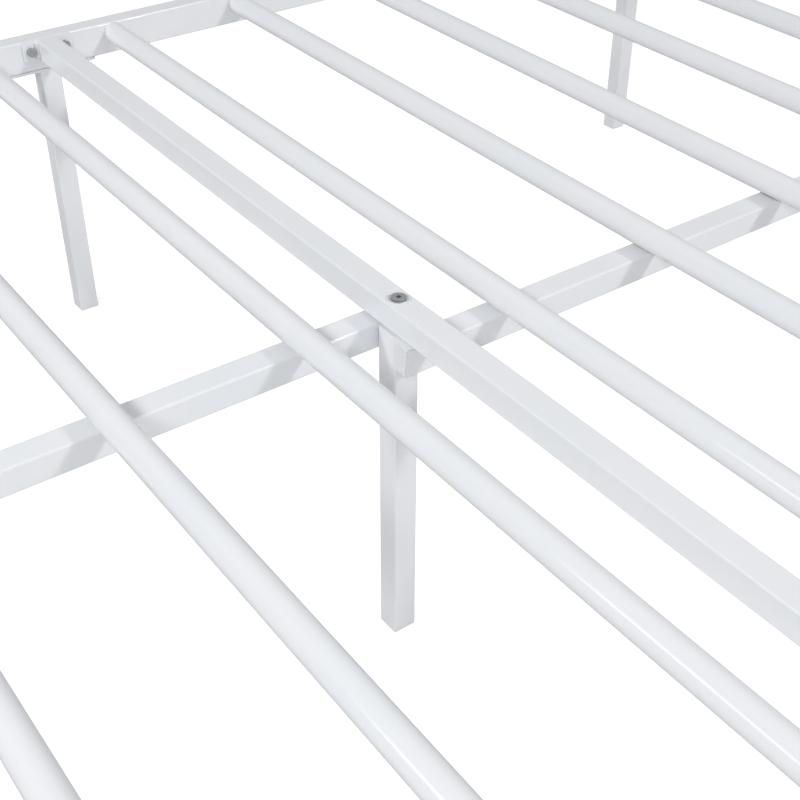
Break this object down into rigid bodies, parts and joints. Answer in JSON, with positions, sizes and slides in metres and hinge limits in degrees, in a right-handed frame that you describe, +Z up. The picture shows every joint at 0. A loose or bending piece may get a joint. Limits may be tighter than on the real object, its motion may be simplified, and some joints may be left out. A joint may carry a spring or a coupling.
{
  "type": "bed frame",
  "caption": "Low platform bed frame in white steel tube: round slats between side rails, carried by centre beams and a bolted square cross rail on plain square legs.",
  "frame": {"origin": "on the floor at the middle of the frame, under the centre leg", "axes": "+X along the slats towards the right side, +Y along the side rails towards the head end, +Z up"},
  "size_m": [1.5116, 2.0386, 0.3897],
  "materials": {
    "white_paint": "semi-gloss white powder coat",
    "zinc_fastener": "zinc plated",
    "white_plastic": "smooth white nylon"
  },
  "bodies": {
    "root": {"centre_cross_rail": "white_paint", "left_cross_rail_plate": "white_paint", "right_cross_rail_plate": "white_paint", "centre_leg": "white_paint", "centre_leg_top_plate": "white_paint", "head_centre_beam": "white_paint", "foot_centre_beam": "white_paint", "head_beam_end_bracket": "white_paint", "foot_beam_end_bracket": "white_paint", "head_beam_hanger": "white_paint", "foot_beam_hanger": "white_paint", "left_head_side_rail": "white_paint", "left_foot_side_rail": "white_paint", "right_head_side_rail": "white_paint", "right_foot_side_rail": "white_paint", "left_middle_leg": "white_paint", "right_middle_leg": "white_paint", "middle_leg_plates": "white_paint", "head_end_rail": "white_paint", "foot_end_rail": "white_paint", "left_head_leg": "white_paint", "right_head_leg": "white_paint", "left_foot_leg": "white_paint", "right_foot_leg": "white_paint", "head_slat_1": "white_paint", "head_slat_2": "white_paint", "head_slat_3": "white_paint", "head_slat_4": "white_paint", "head_slat_5": "white_paint", "foot_slat_1": "white_paint", "foot_slat_2": "white_paint", "foot_slat_3": "white_paint", "foot_slat_4": "white_paint", "foot_slat_5": "white_paint", "cross_rail_weld_nuts": "zinc_fastener", "cross_rail_bolts": "zinc_fastener", "centre_bolt": "zinc_fastener", "centre_leg_weld_nut": "zinc_fastener", "hanger_rail_bolts": "zinc_fastener", "hanger_weld_nuts": "zinc_fastener", "hanger_beam_bolts": "zinc_fastener", "beam_weld_nuts": "zinc_fastener", "left_slat_plugs": "zinc_fastener", "right_slat_plugs": "zinc_fastener", "left_slat_bolts": "zinc_fastener", "right_slat_bolts": "zinc_fastener", "left_rail_splice": "zinc_fastener", "right_rail_splice": "zinc_fastener", "splice_weld_nuts": "zinc_fastener", "middle_leg_bolts": "zinc_fastener", "side_rail_end_plugs": "zinc_fastener", "end_rail_end_plugs": "zinc_fastener", "side_rail_corner_bolts": "zinc_fastener", "end_rail_corner_bolts": "zinc_fastener", "centre_bolt_washer": "white_plastic", "corner_leg_caps": "white_plastic", "centre_leg_foot": "white_plastic", "middle_leg_feet": "white_plastic", "corner_leg_feet": "white_plastic"}
  },
  "joints": []
}
